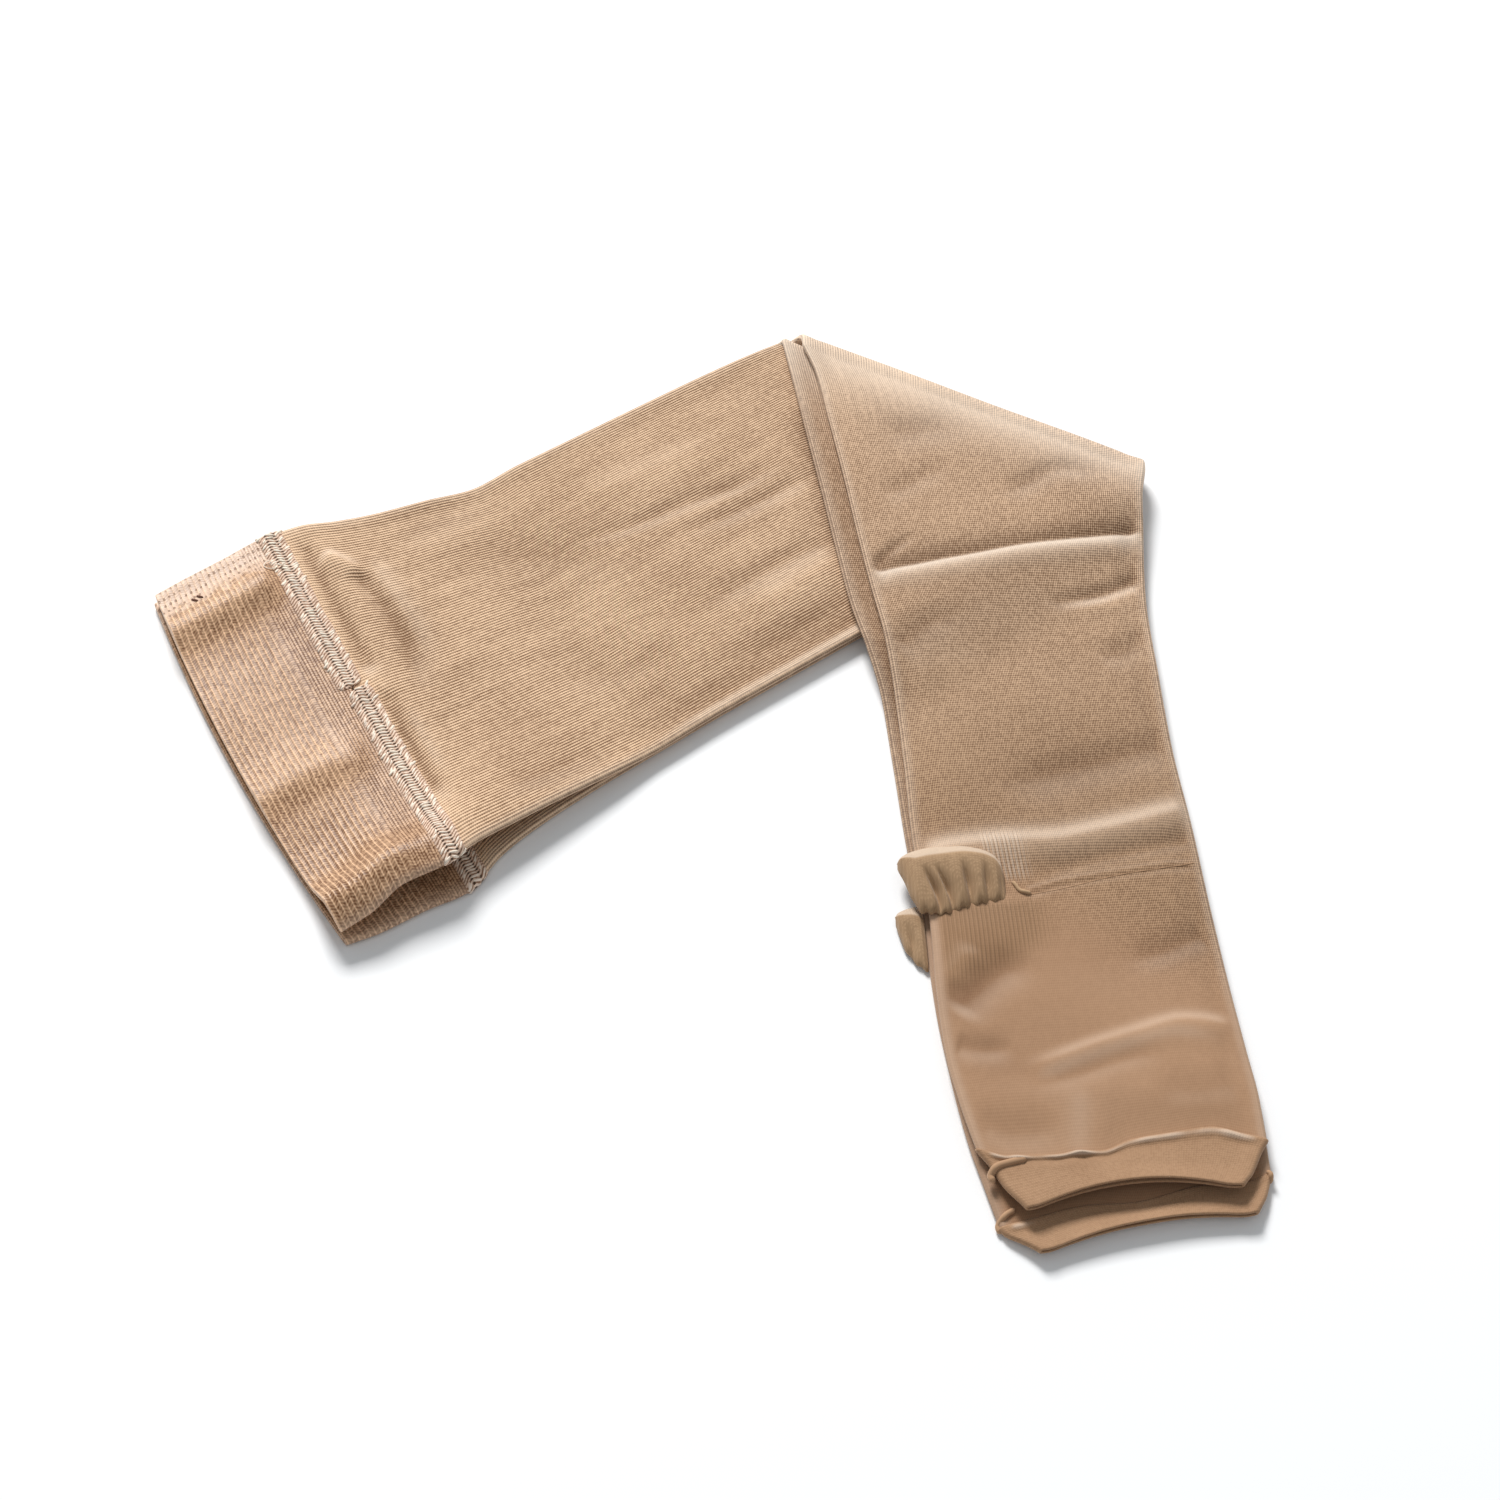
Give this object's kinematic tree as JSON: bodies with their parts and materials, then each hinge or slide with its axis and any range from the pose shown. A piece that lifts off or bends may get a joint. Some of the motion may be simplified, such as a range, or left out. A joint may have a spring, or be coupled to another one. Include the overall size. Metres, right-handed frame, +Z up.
{
  "type": "folded pair of thigh-high compression stockings",
  "caption": "Open-toe thigh-high compression stockings lying flat one on the other, folded once at the knee, with elastic thigh bands, heel pockets and toe cuffs.",
  "frame": {"origin": "middle of the pair's outline, on the surface it lies on", "axes": "+Z up, out of the surface; +Y away from the toes towards the knee fold; +X from the thigh bands towards the lower legs"},
  "size_m": [0.4103, 0.4254, 0.0179],
  "materials": {
    "leg_knit": "fine beige rib knit, matt, with a faint thread sheen",
    "band_elastic": "pinkish tan elastic with close cross ribs and a satin sheen",
    "overlock_seam": "cream overlock stitching, open and chunky, matt",
    "heel_knit": "dense smooth beige knit, gathered, matt",
    "cuff_knit": "dense smooth beige knit, doubled at the hem, matt"
  },
  "bodies": {
    "root": {"over_leg": "leg_knit", "over_thigh_band": "band_elastic", "over_band_seam": "overlock_seam", "over_heel_pocket": "heel_knit", "over_toe_cuff": "cuff_knit", "under_leg": "leg_knit", "under_thigh_band": "band_elastic", "under_band_seam": "overlock_seam", "under_heel_pocket": "heel_knit", "under_toe_cuff": "cuff_knit"}
  },
  "joints": []
}
